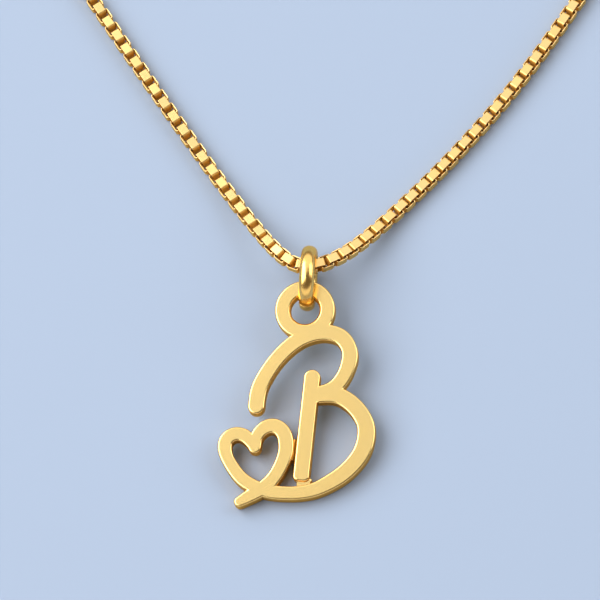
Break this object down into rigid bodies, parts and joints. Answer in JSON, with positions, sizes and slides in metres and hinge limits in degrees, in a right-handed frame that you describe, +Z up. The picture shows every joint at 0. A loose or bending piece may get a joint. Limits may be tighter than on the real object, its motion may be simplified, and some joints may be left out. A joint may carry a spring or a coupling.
{
  "type": "initial pendant necklace",
  "caption": "Letter plate pendant with an open heart, held by a round wire jump ring on a closed loop of square box chain with a plain barrel clasp, laid out flat.",
  "frame": {"origin": "middle of the laid out necklace's bounding box, on the floor that it lies on", "axes": "+Z up from the floor, +Y along the necklace from the letter's foot to the clasp, +X across it, to the right of the letter as it is read"},
  "size_m": [0.1232, 0.1897, 0.0056],
  "materials": {
    "polished_plate": "polished yellow gold plate",
    "polished_wire": "polished yellow gold wire",
    "chain_links": "bright yellow gold links",
    "clasp_metal": "polished yellow gold"
  },
  "bodies": {
    "root": {"pendant": "polished_plate", "jump_ring": "polished_wire", "chain": "chain_links", "clasp": "clasp_metal"}
  },
  "joints": []
}
